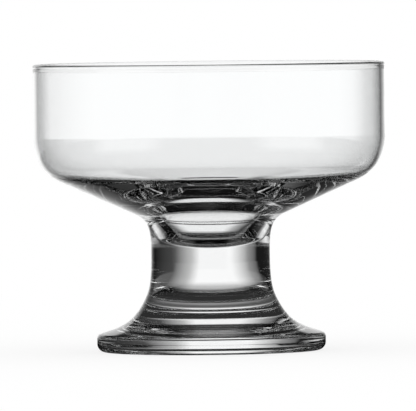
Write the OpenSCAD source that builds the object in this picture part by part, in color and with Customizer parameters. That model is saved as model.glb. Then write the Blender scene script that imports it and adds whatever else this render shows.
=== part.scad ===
// Footed dessert glass in clear pressed glass: a wide bowl with a tapering well, a short solid stem
// and a round foot. The pieces meet face to face at two fused joints, above the foot and below the bowl.
// +Z is up, and the origin is the centre of the plane that the foot rests on.
// Every outline is drawn in the RZ plane and turned about Z.

/* [Foot] */
// Outside diameter of the foot
foot_d = 67.5; // [62:0.5:76]
// Height of the foot up to its joint with the stem
foot_h = 16.6; // [14:0.1:20]
// Height of the foot's edge, where its top surface begins
foot_edge_h = 5.4; // [4.6:0.1:7]
// Radius of the edge's lower corner
low_fillet = 2.4; // [1:0.1:2.8]
// Radius of the edge's upper corner
top_fillet = 1.35; // [0.8:0.05:1.7]
// Rise of the foot's top surface at its edge, in degrees
foot_slope = 18; // [10:1:26]
// Diameter of the joint between the foot and the stem
foot_neck_d = 37.9; // [36.5:0.1:41]
// Lean of the outline at that joint, in degrees from upright
foot_neck_lean = 23.5; // [12:0.5:30]

/* [Underside] */
// Width of the flat ring that the foot rests on
ring_w = 4.6; // [2:0.1:8]
// Width of the rounded step from the ring up to the hollow
hollow_step_w = 4.5; // [2:0.1:8]
// Height of the hollow
hollow_h = 1.4; // [0.6:0.1:3]

/* [Stem] */
// Diameter of the stem at its joint with the bowl
stem_d = 35.1; // [32:0.1:36]
// Height of the stem
stem_h = 11.4; // [9:0.1:18]

/* [Bowl outside] */
// Outside diameter over the rim bead
rim_d = 104; // [97:1:116]
// Height of the rounded neck above the stem
neck_h = 12.5; // [11:0.1:14]
// Width that the neck adds to the stem on each side
neck_w = 4.5; // [3.5:0.05:6]
// Rise of the cone between the neck and the shoulder
cone_h = 8.4; // [7:0.1:10]
// Height of the rounded shoulder
shoulder_h = 15.1; // [14:0.1:18]
// Width of the rounded shoulder
shoulder_w = 11.05; // [9:0.05:13]
// Height of the upright wall, with its rim
wall_h = 21; // [14:0.5:34]

/* [Rim] */
// Thickness of the upright wall
wall_t = 1.4; // [1.1:0.05:1.8]
// Distance that the rim bead stands out from the wall
bead_lip = 0.1; // [0.05:0.05:0.6]

/* [Bowl inside] */
// Width of the rounded corner between wall and floor
corner_w = 8.6; // [6.5:0.05:10]
// Width of the sloping floor
floor_w = 19.7; // [16:0.1:22]
// Height of the floor above the cone's slope, at the floor's outer edge
floor_edge_t = 1.85; // [1.3:0.05:3]
// Height of the floor above the cone's slope, at the well's lip
floor_lip_t = 5.95; // [4.5:0.05:7]
// Height of the well's rounded lip
lip_h = 4.8; // [3:0.1:6]
// Diameter of the well above its rounded bottom
well_d = 21; // [16:0.1:23]
// Height of the rounded bottom
well_bottom_h = 3.4; // [1.6:0.1:5]
// Lean of the well's wall, in degrees from upright
well_lean = 23.5; // [17:0.5:28]
// Solid glass between the well and the joint with the stem
well_floor_t = 2.4; // [2:0.1:4.5]

/* [Hidden] */
$fn = 96;

// Steps along the curved stretches of an outline
curve_steps = 14;
fillet_steps = 6;
bead_steps = 14;

foot_r = foot_d / 2;
foot_neck_r = foot_neck_d / 2;
ring_in_r = foot_r - low_fillet - ring_w;
stem_r = stem_d / 2;
rim_r = rim_d / 2;
well_r = well_d / 2;

// Turning points of the bowl's outside, from the joint with the stem upwards
stem_z = foot_h;
bowl_z = stem_z + stem_h;
neck_z = bowl_z + neck_h;
shoulder_z = neck_z + cone_h;
wall_z = shoulder_z + shoulder_h;
rim_z = wall_z + wall_h;
wall_r = rim_r - bead_lip;
neck_r = stem_r + neck_w;
shoulder_r = wall_r - shoulder_w;
cone_slope = atan2(shoulder_z - neck_z, shoulder_r - neck_r);
bead_r = (wall_t + bead_lip) / 2;

// Height of the cone's slope at a radius
function cone_height(r) = neck_z + (r - neck_r) * tan(cone_slope);

// Turning points of the bowl's inside, from the wall down to the well
inner_r = wall_r - wall_t;
floor_r = inner_r - corner_w;
floor_z = cone_height(floor_r) + floor_edge_t;
lip_r = floor_r - floor_w;
lip_z = cone_height(lip_r) + floor_lip_t;
floor_slope = atan2(floor_z - lip_z, floor_w);
well_z = bowl_z + well_floor_t;
well_wall_z = well_z + well_bottom_h;
well_top_z = lip_z - lip_h;
well_top_r = well_r + (well_top_z - well_wall_z) * tan(well_lean);

// Reach of each curve's two handles, as shares of the stretch that it spans
step_shares = [0.5, 0.5];
flare_shares = [0.41, 0.86];
waist_shares = [0.2, 0.52];
neck_shares = [0.53, 1.1];
shoulder_shares = [0.38, 0.74];
corner_shares = [0.24, 0.95];
lip_shares = [0.35, 0.7];
bottom_shares = [0.5, 0.6];

// Unit vector in the RZ plane at an angle from +R
function heading(a) = [cos(a), sin(a)];

// Points of a cubic curve from p to q that leaves p along u and reaches q along v
function curve(p, u, v, q) =
    [for (i = [0 : curve_steps]) let (t = i / curve_steps, s = 1 - t)
        s * s * s * p + 3 * s * s * t * (p + u) + 3 * s * t * t * (q - v) + t * t * t * q];

// Points of an arc
function arc(centre, r, from, to, steps) =
    [for (i = [0 : steps]) centre + r * heading(from + (to - from) * i / steps)];

// Underside of the foot, from the axis out to the flat ring
underside = curve(
    [ring_in_r - hollow_step_w, hollow_h], heading(0) * hollow_step_w * step_shares[0],
    heading(0) * hollow_step_w * step_shares[1], [ring_in_r, 0]);

// Rounded edge of the foot
edge_low = arc([foot_r - low_fillet, low_fillet], low_fillet, -90, 0, fillet_steps);
edge_top = arc(
    [foot_r - top_fillet, foot_edge_h - top_fillet], top_fillet, 0, 90 - foot_slope, fillet_steps);
edge_end = edge_top[fillet_steps];

// Top of the foot, from its edge up to the stem
flare = curve(
    edge_end, heading(180 - foot_slope) * (edge_end.x - foot_neck_r) * flare_shares[0],
    heading(90 + foot_neck_lean) * (foot_h - edge_end.y) * flare_shares[1], [foot_neck_r, foot_h]);

// Side of the stem
waist = curve(
    [foot_neck_r, stem_z], heading(90 + foot_neck_lean) * stem_h * waist_shares[0],
    heading(90) * stem_h * waist_shares[1], [stem_r, bowl_z]);

// Outside of the bowl, from the stem up to the upright wall
neck = curve(
    [stem_r, bowl_z], heading(90) * neck_h * neck_shares[0],
    heading(cone_slope) * neck_w * neck_shares[1], [neck_r, neck_z]);
shoulder = curve(
    [shoulder_r, shoulder_z], heading(cone_slope) * shoulder_w * shoulder_shares[0],
    heading(90) * shoulder_h * shoulder_shares[1], [wall_r, wall_z]);

// Rim bead, flush with the inside of the wall
bead_centre = [rim_r - bead_r, rim_z - bead_r];
bead_start = -acos((bead_r - bead_lip) / bead_r);
bead = concat(
    arc(bead_centre, bead_r, bead_start, 0, fillet_steps), arc(bead_centre, bead_r, 0, 180, bead_steps));

// Inside of the bowl, from the wall down to the bottom of the well
corner = curve(
    [inner_r, wall_z], heading(-90) * (wall_z - floor_z) * corner_shares[0],
    heading(180 + floor_slope) * corner_w * corner_shares[1], [floor_r, floor_z]);
lip = curve(
    [lip_r, lip_z], heading(180 + floor_slope) * (lip_r - well_top_r) * lip_shares[0],
    heading(-90 - well_lean) * lip_h * lip_shares[1], [well_top_r, well_top_z]);
bottom = curve(
    [well_r, well_wall_z], heading(-90 - well_lean) * well_bottom_h * bottom_shares[0],
    heading(180) * well_r * bottom_shares[1], [0, well_z]);

module turned(points) {
    rotate_extrude()
        polygon(points);
}

module foot() {
    color("lightcyan")
        turned(concat([[0, hollow_h]], underside, edge_low, edge_top, flare, [[0, foot_h]]));
}

module stem() {
    color("paleturquoise")
        turned(concat([[0, stem_z]], waist, [[0, bowl_z]]));
}

module bowl() {
    color("azure")
        turned(concat([[0, bowl_z]], neck, shoulder, bead, corner, lip, bottom));
}

foot();
stem();
bowl();
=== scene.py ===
"""Studio picture of a footed dessert glass in clear pressed glass.

The bowl, stem and foot are turned again here with smooth, finely stepped outlines, in place of the CAD
solids. Lengths are in millimetres until a mesh is made, except on the stage. Angles are in degrees.
"""

import math

import bpy
import numpy as np
from mathutils import Matrix, Vector


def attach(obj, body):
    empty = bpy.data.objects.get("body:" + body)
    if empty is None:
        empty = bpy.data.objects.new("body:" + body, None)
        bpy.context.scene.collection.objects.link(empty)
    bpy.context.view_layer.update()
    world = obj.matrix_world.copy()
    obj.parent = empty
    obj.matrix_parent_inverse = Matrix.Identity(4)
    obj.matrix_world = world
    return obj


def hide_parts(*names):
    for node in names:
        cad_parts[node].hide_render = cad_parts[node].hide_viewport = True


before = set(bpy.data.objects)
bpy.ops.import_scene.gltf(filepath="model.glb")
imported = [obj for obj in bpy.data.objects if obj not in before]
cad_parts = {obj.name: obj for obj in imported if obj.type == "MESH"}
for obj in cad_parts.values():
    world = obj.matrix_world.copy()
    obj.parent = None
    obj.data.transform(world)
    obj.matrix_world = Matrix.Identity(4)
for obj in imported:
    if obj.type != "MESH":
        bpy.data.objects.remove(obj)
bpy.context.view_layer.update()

MM = 0.001
TURN_STEPS = 256
CURVE_STEPS = 40

# Foot
FOOT_R = 33.75
FOOT_H = 16.6
FOOT_EDGE_H = 5.4
LOW_FILLET = 2.4
TOP_FILLET = 1.35
FOOT_SLOPE = 18
FOOT_NECK_R = 18.95
FOOT_NECK_LEAN = 23.5

# Underside
RING_W = 4.6
HOLLOW_STEP_W = 4.5
HOLLOW_H = 1.4

# Stem
STEM_R = 17.55
STEM_H = 11.4

# Bowl outside
RIM_R = 52
NECK_H = 12.5
NECK_W = 4.5
CONE_H = 8.4
SHOULDER_H = 15.1
SHOULDER_W = 11.05
WALL_H = 21
WALL_T = 1.4
BEAD_LIP = 0.1

# Bowl inside
CORNER_W = 8.6
FLOOR_W = 19.7
FLOOR_EDGE_T = 1.85
FLOOR_LIP_T = 5.95
LIP_H = 4.8
WELL_R = 10.5
WELL_BOTTOM_H = 3.4
WELL_LEAN = 23.5
WELL_FLOOR_T = 2.4

# Reach of each curve's two handles, as shares of the stretch that it spans
STEP_SHARES = (0.5, 0.5)
FLARE_SHARES = (0.41, 0.86)
WAIST_SHARES = (0.2, 0.52)
NECK_SHARES = (0.53, 1.1)
SHOULDER_SHARES = (0.38, 0.74)
CORNER_SHARES = (0.24, 0.95)
LIP_SHARES = (0.35, 0.7)
BOTTOM_SHARES = (0.5, 0.6)

# Index, tint and roughness of the clear glass
GLASS_IOR = 1.52
GLASS_TINT = (0.99, 0.996, 0.997, 1)
GLASS_ROUGHNESS = 0.0

# Repeats per metre of the glass's slow waves and of its finer orange peel
WAVE_SCALE = 90
PEEL_SCALE = 420

# Depth of the waves and of the orange peel on the foot, and on the stem and bowl
FOOT_RELIEF = (0.02, 0.002)
UPPER_RELIEF = (0.01, 0.001)

# Bounces that light needs to find its way out of thick glass
LIGHT_BOUNCES = 48

# How bright the studio is in the glass, by degrees around, from straight behind it, and by degrees upward.
# The table in the glass is painted with the same light by degrees around, and with a painted shadow by
# metres from the glass, dark close to the foot. The camera sees all of it white.
AROUND = (
    (-180, 0.01), (-40, 0.01), (-36, 0.15), (-28, 0.3), (-13, 1), (7, 1), (13, 0.5), (26, 0.07), (60, 0.01),
    (180, 0.01))
UPWARD = ((-90, 1), (17, 1), (20, 0.06), (40, 0.04), (90, 0.02))
PAINTED_SHADOW_OUT = ((0, 0.02), (0.036, 0.03), (0.042, 0.12), (0.05, 0.52), (0.075, 0.82), (0.1, 1))

# Painted light on stretches of the table at the near sides, in the same measures. The card reaches down to
# the table there.
NEAR_AROUND = (
    (-180, 0), (-154, 0), (-140, 1), (-112, 1), (-100, 0), (100, 0), (112, 1), (140, 1), (154, 0), (180, 0))
NEAR_OUTWARD = ((0, 0), (0.16, 0), (0.26, 1))

# How much white card stands around the glass, by degrees around and by metres upward
CARD_AROUND = ((-180, 1), (-58, 1), (-38, 0), (44, 0), (90, 1), (180, 1))
CARD_UPWARD = ((0, 0), (0.042, 0), (0.048, 1), (0.13, 1))

# Distance from the glass to the card and to the table's edge, in metres
STAGE_R = 0.45
STAGE_CORNERS = 96

# Brightness of the table to matt light, and the share of it that a shadow takes away for the camera
FLOOR_WHITE = 0.9
FLOOR_SHADOW = 0.2

# The photograph's width in pixels, and the size of one pixel at the glass
PHOTO_W = 416
PIXEL = 0.2951

# Place of the camera and the height that it looks at, with its turn about its own axis
CAMERA_AWAY = 2690
CAMERA_UP = 115.67
TARGET_UP = 42.85
CAMERA_ROLL = 0.66
CAMERA_SHIFT_PX = -2
SENSOR_W = 36

# Places of the two colours and of the result among the sockets of a colour mix
MIX_FIRST = 6
MIX_SECOND = 7
MIX_RESULT = 2

# Turning points, from the joint above the foot upwards
STEM_Z = FOOT_H
BOWL_Z = STEM_Z + STEM_H
NECK_Z = BOWL_Z + NECK_H
SHOULDER_Z = NECK_Z + CONE_H
WALL_Z = SHOULDER_Z + SHOULDER_H
RIM_Z = WALL_Z + WALL_H
RING_IN_R = FOOT_R - LOW_FILLET - RING_W
WALL_R = RIM_R - BEAD_LIP
NECK_R = STEM_R + NECK_W
SHOULDER_R = WALL_R - SHOULDER_W
CONE_SLOPE = math.degrees(math.atan2(SHOULDER_Z - NECK_Z, SHOULDER_R - NECK_R))
BEAD_R = (WALL_T + BEAD_LIP) / 2
INNER_R = WALL_R - WALL_T
FLOOR_R = INNER_R - CORNER_W
FLOOR_Z = NECK_Z + (FLOOR_R - NECK_R) * math.tan(math.radians(CONE_SLOPE)) + FLOOR_EDGE_T
LIP_R = FLOOR_R - FLOOR_W
LIP_Z = NECK_Z + (LIP_R - NECK_R) * math.tan(math.radians(CONE_SLOPE)) + FLOOR_LIP_T
FLOOR_DROP = math.degrees(math.atan2(FLOOR_Z - LIP_Z, FLOOR_W))
WELL_Z = BOWL_Z + WELL_FLOOR_T
WELL_WALL_Z = WELL_Z + WELL_BOTTOM_H
WELL_TOP_Z = LIP_Z - LIP_H
WELL_TOP_R = WELL_R + (WELL_TOP_Z - WELL_WALL_Z) * math.tan(math.radians(WELL_LEAN))


def heading(angle):
    """Unit vector in the RZ plane at an angle from +R."""
    return np.array([math.cos(math.radians(angle)), math.sin(math.radians(angle))])


def curve(start, leave, arrive, end, steps):
    """Points of a cubic curve that leaves start along one vector and reaches end along the other."""
    start, end = np.array(start, float), np.array(end, float)
    points = []
    for i in range(steps + 1):
        t = i / steps
        s = 1 - t
        points.append(
            s ** 3 * start + 3 * s * s * t * (start + leave)
            + 3 * s * t * t * (end - arrive) + t ** 3 * end)
    return points


def arc(centre, radius, first, last, steps):
    """Points of an arc."""
    centre = np.array(centre, float)
    return [centre + radius * heading(first + (last - first) * i / steps) for i in range(steps + 1)]


def straight(start, end, steps):
    """Points between two ends, without the ends."""
    start, end = np.array(start, float), np.array(end, float)
    return [start + (end - start) * i / steps for i in range(1, steps)]


def foot_outline():
    """The foot from the axis underneath to the edge of its joint with the stem."""
    step_start = (RING_IN_R - HOLLOW_STEP_W, HOLLOW_H)
    under = curve(
        step_start, heading(0) * HOLLOW_STEP_W * STEP_SHARES[0],
        heading(0) * HOLLOW_STEP_W * STEP_SHARES[1], (RING_IN_R, 0), 24)
    low = arc((FOOT_R - LOW_FILLET, LOW_FILLET), LOW_FILLET, -90, 0, 20)
    top = arc((FOOT_R - TOP_FILLET, FOOT_EDGE_H - TOP_FILLET), TOP_FILLET, 0, 90 - FOOT_SLOPE, 14)
    edge = top[-1]
    flare = curve(
        edge, heading(180 - FOOT_SLOPE) * (edge[0] - FOOT_NECK_R) * FLARE_SHARES[0],
        heading(90 + FOOT_NECK_LEAN) * (FOOT_H - edge[1]) * FLARE_SHARES[1], (FOOT_NECK_R, FOOT_H), 56)
    hollow = straight((0, HOLLOW_H), step_start, 16)
    ring = straight(under[-1], low[0], 6)
    side = straight(low[-1], top[0], 4)
    return hollow + under + ring + low + side + top + flare[1:]


def stem_outline():
    """The stem's side, upwards."""
    return curve(
        (FOOT_NECK_R, STEM_Z), heading(90 + FOOT_NECK_LEAN) * STEM_H * WAIST_SHARES[0],
        heading(90) * STEM_H * WAIST_SHARES[1], (STEM_R, BOWL_Z), CURVE_STEPS)


def bowl_outline():
    """The bowl from the edge of its joint with the stem, over the rim, to the bottom of its well."""
    neck = curve(
        (STEM_R, BOWL_Z), heading(90) * NECK_H * NECK_SHARES[0],
        heading(CONE_SLOPE) * NECK_W * NECK_SHARES[1], (NECK_R, NECK_Z), CURVE_STEPS)
    shoulder = curve(
        (SHOULDER_R, SHOULDER_Z), heading(CONE_SLOPE) * SHOULDER_W * SHOULDER_SHARES[0],
        heading(90) * SHOULDER_H * SHOULDER_SHARES[1], (WALL_R, WALL_Z), 48)
    bead_centre = np.array([RIM_R - BEAD_R, RIM_Z - BEAD_R])
    bead_start = -math.degrees(math.acos((BEAD_R - BEAD_LIP) / BEAD_R))
    bead = arc(bead_centre, BEAD_R, bead_start, 0, 8) + arc(bead_centre, BEAD_R, 0, 180, 24)[1:]
    corner = curve(
        (INNER_R, WALL_Z), heading(-90) * (WALL_Z - FLOOR_Z) * CORNER_SHARES[0],
        heading(180 + FLOOR_DROP) * CORNER_W * CORNER_SHARES[1], (FLOOR_R, FLOOR_Z), CURVE_STEPS)
    lip = curve(
        (LIP_R, LIP_Z), heading(180 + FLOOR_DROP) * (LIP_R - WELL_TOP_R) * LIP_SHARES[0],
        heading(-90 - WELL_LEAN) * LIP_H * LIP_SHARES[1], (WELL_TOP_R, WELL_TOP_Z), 32)
    bottom = curve(
        (WELL_R, WELL_WALL_Z), heading(-90 - WELL_LEAN) * WELL_BOTTOM_H * BOTTOM_SHARES[0],
        heading(180) * WELL_R * BOTTOM_SHARES[1], (0, WELL_Z), CURVE_STEPS)
    cone = straight(neck[-1], shoulder[0], 12)
    wall = straight(shoulder[-1], bead[0], 16)
    inner_wall = straight(bead[-1], corner[0], 16)
    floor = straight(corner[-1], lip[0], 12)
    well_wall = straight(lip[-1], bottom[0], 14)
    outside = neck + cone + shoulder + wall
    inside = inner_wall + corner + floor + lip + well_wall + bottom[:-1]
    return outside + bead + inside


def turned(name, outline, start_axis=None, end_axis=None):
    """A closed body turned about Z, with a cap from each end of the outline that isn't on the axis.

    The faces of the caps take the second material, because they lie inside the glass.
    start_axis and end_axis say where on the axis an outline that closes there by itself begins or ends.
    """
    rings = [np.array(point, float) for point in outline]
    first_cap = start_axis is None
    last_cap = end_axis is None
    cos = np.cos(np.arange(TURN_STEPS) * 2 * math.pi / TURN_STEPS)
    sin = np.sin(np.arange(TURN_STEPS) * 2 * math.pi / TURN_STEPS)
    low_axis = rings[0][1] if first_cap else start_axis
    high_axis = rings[-1][1] if last_cap else end_axis
    verts = [(0.0, 0.0, low_axis * MM)]
    for radius, height in rings:
        verts.extend(
            (radius * cos[k] * MM, radius * sin[k] * MM, height * MM) for k in range(TURN_STEPS))
    verts.append((0.0, 0.0, high_axis * MM))
    faces = []
    inside = []

    def vertex(ring, step):
        return 1 + ring * TURN_STEPS + step % TURN_STEPS

    for k in range(TURN_STEPS):
        faces.append((0, vertex(0, k + 1), vertex(0, k)))
        inside.append(first_cap)
    for ring in range(len(rings) - 1):
        for k in range(TURN_STEPS):
            faces.append((
                vertex(ring, k), vertex(ring, k + 1), vertex(ring + 1, k + 1), vertex(ring + 1, k)))
            inside.append(False)
    last = len(rings) - 1
    for k in range(TURN_STEPS):
        faces.append((len(verts) - 1, vertex(last, k), vertex(last, k + 1)))
        inside.append(last_cap)
    mesh = bpy.data.meshes.new(name)
    mesh.from_pydata(verts, [], faces)
    mesh.polygons.foreach_set("use_smooth", [not flag for flag in inside])
    mesh.polygons.foreach_set("material_index", [int(flag) for flag in inside])
    mesh.update()
    mesh.validate()
    mesh.normals_split_custom_set([tuple(corner.vector) for corner in mesh.corner_normals])
    piece = bpy.data.objects.new(name, mesh)
    bpy.context.scene.collection.objects.link(piece)
    return piece


def add(tree, kind, **values):
    """A node with some of its sockets or settings filled in."""
    node = tree.nodes.new(kind)
    for key, value in values.items():
        if key in node.inputs:
            node.inputs[key].default_value = value
        else:
            setattr(node, key, value)
    return node


def glass_material(name, relief):
    """Clear pressed glass: slow waves from the mould and a finer orange peel from fire polishing."""
    wave_depth, peel_depth = relief
    material = bpy.data.materials.new(name)
    material.use_nodes = True
    tree = material.node_tree
    tree.nodes.clear()
    shader = add(tree, "ShaderNodeBsdfPrincipled", Roughness=GLASS_ROUGHNESS, IOR=GLASS_IOR)
    shader.inputs["Base Color"].default_value = GLASS_TINT
    shader.inputs["Transmission Weight"].default_value = 1.0
    place = add(tree, "ShaderNodeTexCoord")
    waves = add(tree, "ShaderNodeTexNoise", Scale=WAVE_SCALE, Detail=1.0)
    peel = add(tree, "ShaderNodeTexNoise", Scale=PEEL_SCALE, Detail=2.0)
    wave_bump = add(tree, "ShaderNodeBump", Strength=1.0, Distance=wave_depth * MM)
    peel_bump = add(tree, "ShaderNodeBump", Strength=1.0, Distance=peel_depth * MM)
    out = add(tree, "ShaderNodeOutputMaterial")
    link = tree.links.new
    link(place.outputs["Object"], waves.inputs["Vector"])
    link(place.outputs["Object"], peel.inputs["Vector"])
    link(waves.outputs["Fac"], wave_bump.inputs["Height"])
    link(peel.outputs["Fac"], peel_bump.inputs["Height"])
    link(wave_bump.outputs["Normal"], peel_bump.inputs["Normal"])
    link(peel_bump.outputs["Normal"], shader.inputs["Normal"])
    link(shader.outputs["BSDF"], out.inputs["Surface"])
    return material


def joint_material():
    """The two fused joints lie inside the glass and bend no light."""
    material = bpy.data.materials.new("fused_joint")
    material.use_nodes = True
    shader = material.node_tree.nodes["Principled BSDF"]
    shader.inputs["Alpha"].default_value = 0.0
    return material


def ramp(tree, source, low, high, stops):
    """Brightness along a value that runs from low to high, from stops of (value, brightness)."""
    scale = add(tree, "ShaderNodeMapRange")
    scale.inputs["From Min"].default_value = low
    scale.inputs["From Max"].default_value = high
    tree.links.new(source, scale.inputs["Value"])
    node = add(tree, "ShaderNodeValToRGB")
    elements = node.color_ramp.elements
    while len(elements) < len(stops):
        elements.new(0.5)
    for element, (value, light) in zip(elements, stops):
        element.position = (value - low) / (high - low)
        element.color = (light, light, light, 1)
    tree.links.new(scale.outputs["Result"], node.inputs["Fac"])
    return node.outputs["Color"]


def in_degrees(tree, operation, *sources):
    """An angle worked out from its sources, in degrees."""
    angle = add(tree, "ShaderNodeMath", operation=operation)
    for socket, source in zip(angle.inputs, sources):
        tree.links.new(source, socket)
    degrees = add(tree, "ShaderNodeMath", operation="DEGREES")
    tree.links.new(angle.outputs[0], degrees.inputs[0])
    return degrees.outputs[0]


def mixed(tree, blend, first, second):
    """Two colours put together."""
    node = add(tree, "ShaderNodeMix", data_type="RGBA", blend_type=blend)
    node.inputs["Factor"].default_value = 1.0
    tree.links.new(first, node.inputs[MIX_FIRST])
    tree.links.new(second, node.inputs[MIX_SECOND])
    return node.outputs[MIX_RESULT]


def product(tree, first, second):
    """Two colours multiplied."""
    return mixed(tree, "MULTIPLY", first, second)


def lighter(tree, first, second):
    """The lighter of two colours."""
    return mixed(tree, "LIGHTEN", first, second)


def shiny_rays(tree, path):
    """1 for light that has been mirrored or bent by glass, else 0."""
    shiny = add(tree, "ShaderNodeMath", operation="MAXIMUM")
    tree.links.new(path.outputs["Is Glossy Ray"], shiny.inputs[0])
    tree.links.new(path.outputs["Is Transmission Ray"], shiny.inputs[1])
    return shiny.outputs[0]


def studio_world():
    """A lit backdrop behind the glass between dark sides, as the glass mirrors and bends it.

    The camera sees plain white, and everything matt is lit evenly from all around.
    """
    world = bpy.data.worlds.new("studio")
    bpy.context.scene.world = world
    world.use_nodes = True
    tree = world.node_tree
    tree.nodes.clear()
    link = tree.links.new
    place = add(tree, "ShaderNodeTexCoord")
    split = add(tree, "ShaderNodeSeparateXYZ")
    link(place.outputs["Generated"], split.inputs["Vector"])
    azimuth = in_degrees(tree, "ARCTAN2", split.outputs["X"], split.outputs["Y"])
    height = in_degrees(tree, "ARCSINE", split.outputs["Z"])
    room = product(
        tree, ramp(tree, azimuth, -180, 180, AROUND), ramp(tree, height, -90, 90, UPWARD))
    seen = add(tree, "ShaderNodeMix", data_type="RGBA")
    seen.inputs[MIX_FIRST].default_value = (1, 1, 1, 1)
    link(shiny_rays(tree, add(tree, "ShaderNodeLightPath")), seen.inputs["Factor"])
    link(room, seen.inputs[MIX_SECOND])
    light = add(tree, "ShaderNodeBackground", Strength=1.0)
    link(seen.outputs[MIX_RESULT], light.inputs["Color"])
    out = add(tree, "ShaderNodeOutputWorld")
    link(light.outputs["Background"], out.inputs["Surface"])


def stage_ring(height):
    """Points of the stage's edge at a height."""
    turn = 2 * math.pi / STAGE_CORNERS
    return [
        (STAGE_R * math.cos(k * turn), STAGE_R * math.sin(k * turn), height) for k in range(STAGE_CORNERS)]


def studio_floor():
    """A round white table.

    What the camera sees of it is mostly glow, which keeps the shadow pale. In the glass it shows only
    painted light and shade: as bright as the backdrop above it, a painted shadow close to the foot, and
    painted light again further out at the near sides.
    """
    mesh = bpy.data.meshes.new("floor")
    mesh.from_pydata(stage_ring(0), [], [tuple(range(STAGE_CORNERS))])
    floor = bpy.data.objects.new("floor", mesh)
    bpy.context.scene.collection.objects.link(floor)
    material = bpy.data.materials.new("floor_white")
    material.use_nodes = True
    tree = material.node_tree
    tree.nodes.clear()
    link = tree.links.new
    matt = add(tree, "ShaderNodeBsdfDiffuse")
    matt.inputs["Color"].default_value = (FLOOR_WHITE, FLOOR_WHITE, FLOOR_WHITE, 1)
    pale = add(tree, "ShaderNodeBsdfDiffuse")
    pale.inputs["Color"].default_value = (FLOOR_SHADOW, FLOOR_SHADOW, FLOOR_SHADOW, 1)
    glow = add(tree, "ShaderNodeEmission", Strength=1 - FLOOR_SHADOW)
    seen = add(tree, "ShaderNodeAddShader")
    link(pale.outputs[0], seen.inputs[0])
    link(glow.outputs[0], seen.inputs[1])
    place = add(tree, "ShaderNodeTexCoord")
    split = add(tree, "ShaderNodeSeparateXYZ")
    link(place.outputs["Object"], split.inputs["Vector"])
    azimuth = in_degrees(tree, "ARCTAN2", split.outputs["X"], split.outputs["Y"])
    away = add(tree, "ShaderNodeVectorMath", operation="LENGTH")
    link(place.outputs["Object"], away.inputs[0])
    # Painted light and shade: what the glass sees of the table is a glow, brighter behind and darker at the
    # sides, not lamp light.
    painted_light_around = ramp(tree, azimuth, -180, 180, AROUND)
    # Painted shadow: the table glows darker close to the foot, in place of the shadow of the glass.
    painted_shadow = ramp(tree, away.outputs["Value"], 0, STAGE_R, PAINTED_SHADOW_OUT)
    painted_table_glow = add(tree, "ShaderNodeEmission", Strength=1.0)
    # Painted light: stretches of the table at the near sides glow brighter in the glass.
    painted_near_light = product(
        tree, ramp(tree, azimuth, -180, 180, NEAR_AROUND),
        ramp(tree, away.outputs["Value"], 0, STAGE_R, NEAR_OUTWARD))
    link(lighter(tree, product(tree, painted_light_around, painted_shadow), painted_near_light), painted_table_glow.inputs["Color"])
    path = add(tree, "ShaderNodeLightPath")
    by_camera = add(tree, "ShaderNodeMixShader")
    link(path.outputs["Is Camera Ray"], by_camera.inputs[0])
    link(matt.outputs[0], by_camera.inputs[1])
    link(seen.outputs[0], by_camera.inputs[2])
    by_glass = add(tree, "ShaderNodeMixShader")
    link(shiny_rays(tree, path), by_glass.inputs[0])
    link(by_camera.outputs[0], by_glass.inputs[1])
    link(painted_table_glow.outputs[0], by_glass.inputs[2])
    out = add(tree, "ShaderNodeOutputMaterial")
    link(by_glass.outputs[0], out.inputs["Surface"])
    mesh.materials.append(material)


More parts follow.
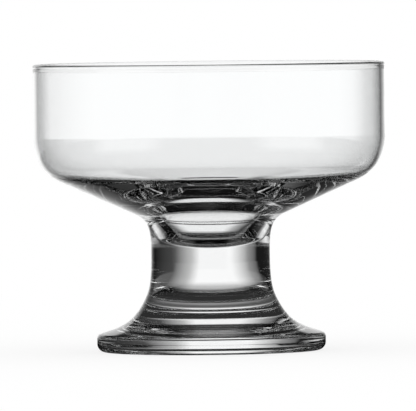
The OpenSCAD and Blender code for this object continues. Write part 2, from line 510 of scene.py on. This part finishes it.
def studio_card():
    """White card in a ring around the glass, at the height of its wall, that only the glass sees.

    It keeps the thin wall clear and white, and leaves the stem between dark sides. Behind the glass, as
    the photograph sees it, the card is open. At the near sides it reaches down to the table.
    """
    top = CARD_UPWARD[-1][0]
    corners = STAGE_CORNERS
    mesh = bpy.data.meshes.new("card")
    mesh.from_pydata(
        stage_ring(0) + stage_ring(top), [],
        [(k, (k + 1) % corners, corners + (k + 1) % corners, corners + k) for k in range(corners)])
    card = bpy.data.objects.new("card", mesh)
    card.visible_camera = False
    card.visible_diffuse = False
    card.visible_shadow = False
    bpy.context.scene.collection.objects.link(card)
    material = bpy.data.materials.new("card_glow")
    material.use_nodes = True
    tree = material.node_tree
    tree.nodes.clear()
    link = tree.links.new
    place = add(tree, "ShaderNodeTexCoord")
    split = add(tree, "ShaderNodeSeparateXYZ")
    link(place.outputs["Object"], split.inputs["Vector"])
    azimuth = in_degrees(tree, "ARCTAN2", split.outputs["X"], split.outputs["Y"])
    share = product(
        tree, ramp(tree, azimuth, -180, 180, CARD_AROUND),
        lighter(
            tree, ramp(tree, split.outputs["Z"], 0, top, CARD_UPWARD),
            ramp(tree, azimuth, -180, 180, NEAR_AROUND)))
    gap = add(tree, "ShaderNodeBsdfTransparent")
    # The card's white is its own glow: a light panel that only the glass sees, lit by no lamp.
    white = add(tree, "ShaderNodeEmission", Strength=1.0)
    shader = add(tree, "ShaderNodeMixShader")
    link(share, shader.inputs[0])
    link(gap.outputs[0], shader.inputs[1])
    link(white.outputs[0], shader.inputs[2])
    out = add(tree, "ShaderNodeOutputMaterial")
    link(shader.outputs[0], out.inputs["Surface"])
    mesh.materials.append(material)


def studio_camera():
    """The photograph's view: far away, a little above the rim, and turned by a fraction of a degree."""
    place = Vector((0, -CAMERA_AWAY, CAMERA_UP)) * MM
    target = Vector((0, 0, TARGET_UP)) * MM
    roll = math.radians(CAMERA_ROLL)
    forward = (target - place).normalized()
    right = forward.cross(Vector((0, 0, 1))).normalized()
    up = right.cross(forward)
    cos, sin = math.cos(roll), math.sin(roll)
    right, up = right * cos - up * sin, right * sin + up * cos
    data = bpy.data.cameras.new("camera")
    data.sensor_width = SENSOR_W
    data.lens = CAMERA_AWAY / PIXEL * SENSOR_W / PHOTO_W
    data.shift_x = CAMERA_SHIFT_PX / PHOTO_W
    camera = bpy.data.objects.new("camera", data)
    camera.matrix_world = Matrix((
        (right.x, up.x, -forward.x, place.x),
        (right.y, up.y, -forward.y, place.y),
        (right.z, up.z, -forward.z, place.z),
        (0, 0, 0, 1)))
    bpy.context.scene.collection.objects.link(camera)
    bpy.context.scene.camera = camera


def dress(piece, node, glass, joint):
    """Give a piece its materials and its body, and hide the CAD node that it stands for."""
    piece.data.materials.append(glass)
    piece.data.materials.append(joint)
    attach(piece, "root")
    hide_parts(node)


scene = bpy.context.scene
scene.view_settings.view_transform = "Standard"
scene.cycles.max_bounces = LIGHT_BOUNCES
scene.cycles.transmission_bounces = LIGHT_BOUNCES
scene.cycles.glossy_bounces = LIGHT_BOUNCES
scene.cycles.transparent_max_bounces = LIGHT_BOUNCES

studio_camera()
studio_world()
studio_floor()
studio_card()

inner_face = joint_material()
foot = turned("foot_body", foot_outline(), start_axis=HOLLOW_H)
dress(foot, "foot", glass_material("foot_clear", FOOT_RELIEF), inner_face)
stem = turned("stem_body", stem_outline())
dress(stem, "stem", glass_material("stem_clear", UPPER_RELIEF), inner_face)
bowl = turned("bowl_body", bowl_outline(), end_axis=WELL_Z)
dress(bowl, "bowl", glass_material("bowl_clear", UPPER_RELIEF), inner_face)

bpy.context.view_layer.update()
